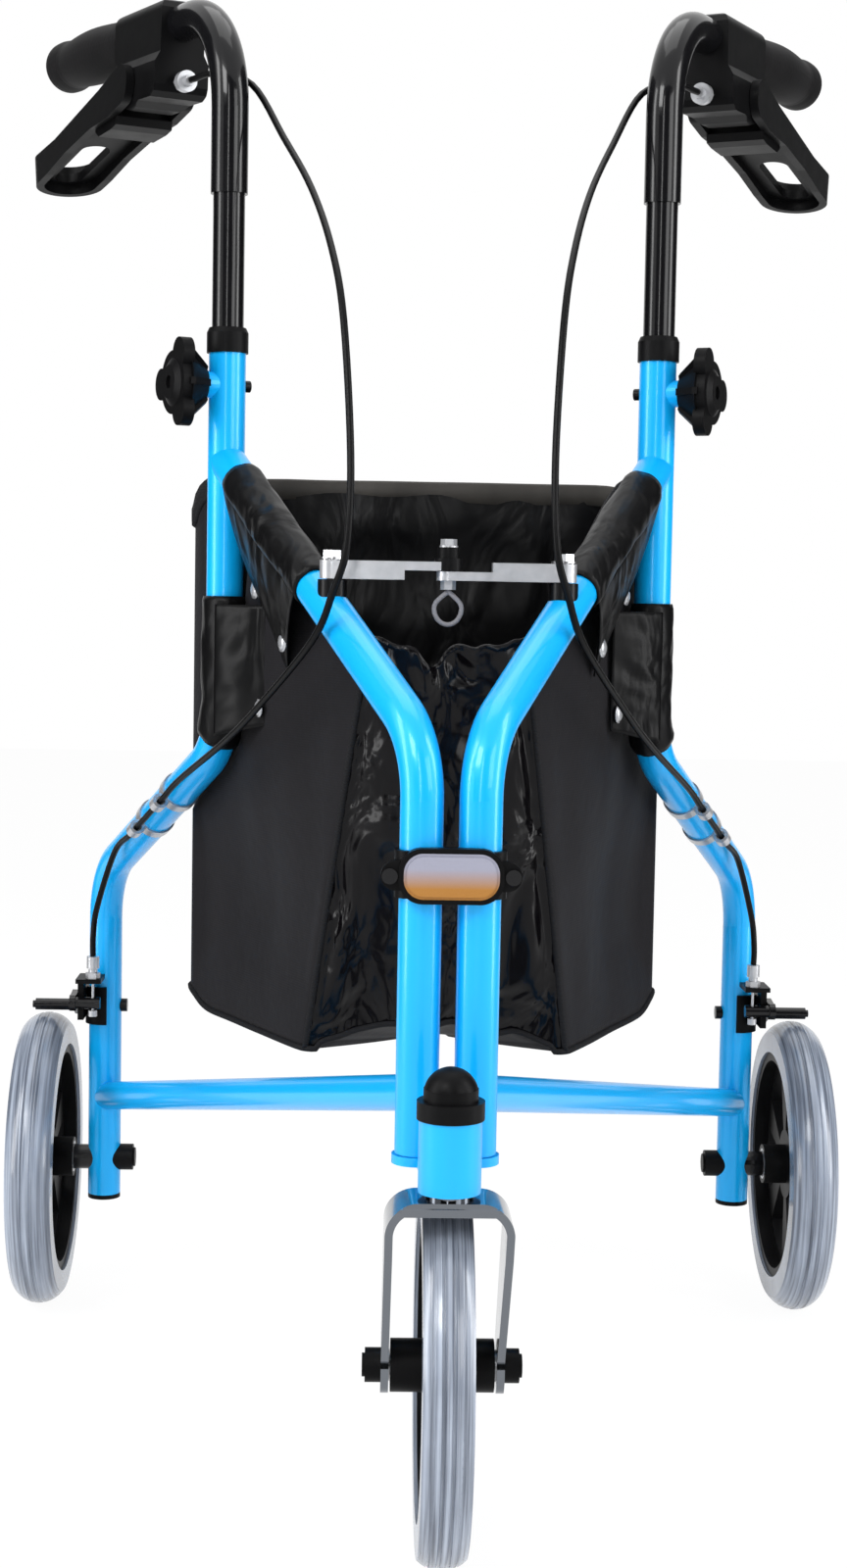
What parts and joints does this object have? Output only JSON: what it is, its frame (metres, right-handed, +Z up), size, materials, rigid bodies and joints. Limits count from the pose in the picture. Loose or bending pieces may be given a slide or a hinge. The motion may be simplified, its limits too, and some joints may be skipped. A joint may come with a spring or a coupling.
{
  "type": "three wheel rollator",
  "caption": "Folding walking aid of bent steel tube side frames hinged on a caster head, with height adjustable brake handles, loop levers, a cross brace and an open vinyl tote.",
  "frame": {"origin": "On the floor under the middle of the bounding box of the open rollator", "axes": "+Z up, front caster toward -Y, the user walks behind at +Y, +X to the user's right"},
  "size_m": [0.5758, 0.6417, 0.8789],
  "materials": {
    "blue_paint": "gloss metallic blue enamel",
    "black_paint": "gloss black enamel",
    "black_plastic": "satin moulded black",
    "black_rubber": "soft matt black",
    "black_vinyl": "coated woven black vinyl",
    "black_webbing": "woven black tape",
    "cable_jacket": "smooth black jacket",
    "zinc_steel": "bright zinc plated",
    "chrome_steel": "polished chrome plate",
    "grey_tyre": "matt grey moulded tread",
    "amber_lens": "clear prismatic amber"
  },
  "bodies": {
    "head": {"headstock": "blue_paint", "head_cap": "black_plastic", "reflector_clamp": "black_plastic", "reflector_lens": "amber_lens", "clamp_screws": "zinc_steel", "tote": "black_vinyl"},
    "caster": {"fork": "chrome_steel", "stem": "chrome_steel", "front_axle": "zinc_steel", "axle_caps": "black_plastic"},
    "front_wheel": {"front_tyre": "grey_tyre", "front_rim": "black_plastic", "front_bearings": "zinc_steel"},
    "left_frame": {"left_front_tube": "blue_paint", "left_rear_tube": "blue_paint", "left_rail": "blue_paint", "left_caps": "black_plastic", "left_axle": "black_paint", "left_brake_bracket": "black_plastic", "left_cable": "cable_jacket", "left_cable_fittings": "zinc_steel", "left_sleeves": "black_vinyl", "left_bolts": "zinc_steel"},
    "left_wheel": {"left_tyre": "grey_tyre", "left_rim": "black_plastic", "left_bearings": "zinc_steel"},
    "left_brake": {"left_brake_arm": "black_paint"},
    "left_handle": {"left_height_tube": "black_paint", "left_handlebar": "black_paint", "left_grip": "black_rubber", "left_brake_housing": "black_plastic", "left_adjuster": "zinc_steel"},
    "left_squeeze_lever": {"left_lever": "black_plastic"},
    "left_height_knob": {"left_knob": "black_plastic"},
    "right_frame": {"right_front_tube": "blue_paint", "right_rear_tube": "blue_paint", "right_rail": "blue_paint", "right_caps": "black_plastic", "right_axle": "black_paint", "right_brake_bracket": "black_plastic", "right_cable": "cable_jacket", "right_cable_fittings": "zinc_steel", "right_sleeves": "black_vinyl", "right_bolts": "zinc_steel"},
    "right_wheel": {"right_tyre": "grey_tyre", "right_rim": "black_plastic", "right_bearings": "zinc_steel"},
    "right_brake": {"right_brake_arm": "black_paint"},
    "right_handle": {"right_height_tube": "black_paint", "right_handlebar": "black_paint", "right_grip": "black_rubber", "right_brake_housing": "black_plastic", "right_adjuster": "zinc_steel"},
    "right_squeeze_lever": {"right_lever": "black_plastic"},
    "right_height_knob": {"right_knob": "black_plastic"},
    "left_bar": {"left_brace": "zinc_steel", "brace_knob": "black_plastic"},
    "right_bar": {"right_brace": "zinc_steel", "pull_strap": "black_webbing"}
  },
  "joints": [
    {"name": "caster_swivel", "type": "hinge", "parent": "head", "child": "caster", "pos_m": [0, -0.27092, 0.1], "axis": [0, 0, 1], "continuous": true},
    {"name": "front_wheel_spin", "type": "hinge", "parent": "caster", "child": "front_wheel", "pos_m": [0, -0.22092, 0.1], "axis": [1, 0, 0], "continuous": true},
    {"name": "left_fold", "type": "hinge", "parent": "head", "child": "left_frame", "pos_m": [-0.015, -0.21392, 0.3], "axis": [0, 0, -1], "range_deg": [0, 19.5], "deforming": ["tote"]},
    {"name": "left_brace_turn", "type": "hinge", "parent": "left_frame", "child": "left_bar", "pos_m": [-0.06322, -0.11283, 0.506], "axis": [0, 0, -1], "range_deg": [0, 45.5]},
    {"name": "left_wheel_spin", "type": "hinge", "parent": "left_frame", "child": "left_wheel", "pos_m": [-0.26092, 0.21571, 0.1], "axis": [1, 0, 0], "continuous": true},
    {"name": "left_handle_height", "type": "slide", "parent": "left_frame", "child": "left_handle", "axis": [0, 0, 1], "range_m": [-0.07, 0.08], "deforming": ["left_cable"]},
    {"name": "left_lever_squeeze", "type": "hinge", "parent": "left_handle", "child": "left_squeeze_lever", "pos_m": [-0.18491, 0.14231, 0.81553], "axis": [0.9026, 0.4305, 0], "range_deg": [0, 11], "stiffness_Nm_per_rad": 1, "springref_deg": -6.88},
    {"name": "left_brake_rock", "type": "hinge", "parent": "left_frame", "child": "left_brake", "pos_m": [-0.2363, 0.19771, 0.214], "axis": [-1, 0, 0], "range_deg": [0, 8.5]},
    {"name": "left_knob_turn", "type": "hinge", "parent": "left_frame", "child": "left_height_knob", "pos_m": [-0.12952, 0.02617, 0.617], "axis": [-0.9026, -0.4305, 0], "range_deg": [0, 540]},
    {"name": "right_fold", "type": "hinge", "parent": "head", "child": "right_frame", "pos_m": [0.015, -0.21392, 0.3], "axis": [0, 0, 1], "range_deg": [0, 19.5], "deforming": ["tote"]},
    {"name": "right_brace_turn", "type": "hinge", "parent": "right_frame", "child": "right_bar", "pos_m": [0.06322, -0.11283, 0.506], "axis": [0, 0, 1], "range_deg": [0, 45.5]},
    {"name": "right_wheel_spin", "type": "hinge", "parent": "right_frame", "child": "right_wheel", "pos_m": [0.26092, 0.21571, 0.1], "axis": [1, 0, 0], "continuous": true},
    {"name": "right_handle_height", "type": "slide", "parent": "right_frame", "child": "right_handle", "axis": [0, 0, 1], "range_m": [-0.07, 0.08], "deforming": ["right_cable"]},
    {"name": "right_lever_squeeze", "type": "hinge", "parent": "right_handle", "child": "right_squeeze_lever", "pos_m": [0.18491, 0.14231, 0.81553], "axis": [0.9026, -0.4305, 0], "range_deg": [0, 11], "stiffness_Nm_per_rad": 1, "springref_deg": -6.88},
    {"name": "right_brake_rock", "type": "hinge", "parent": "right_frame", "child": "right_brake", "pos_m": [0.2363, 0.19771, 0.214], "axis": [-1, 0, 0], "range_deg": [0, 8.5]},
    {"name": "right_knob_turn", "type": "hinge", "parent": "right_frame", "child": "right_height_knob", "pos_m": [0.12952, 0.02617, 0.617], "axis": [0.9026, -0.4305, 0], "range_deg": [0, 540]}
  ],
  "couplings": [
    {"joint": "right_fold", "follows": "left_fold", "ratio": 1},
    {"joint": "left_brace_turn", "follows": "left_fold", "ratio": 2.3332},
    {"joint": "right_brace_turn", "follows": "left_fold", "ratio": 2.3332},
    {"joint": "left_brake_rock", "follows": "left_lever_squeeze", "ratio": 0.7727},
    {"joint": "right_brake_rock", "follows": "right_lever_squeeze", "ratio": 0.7727}
  ]
}
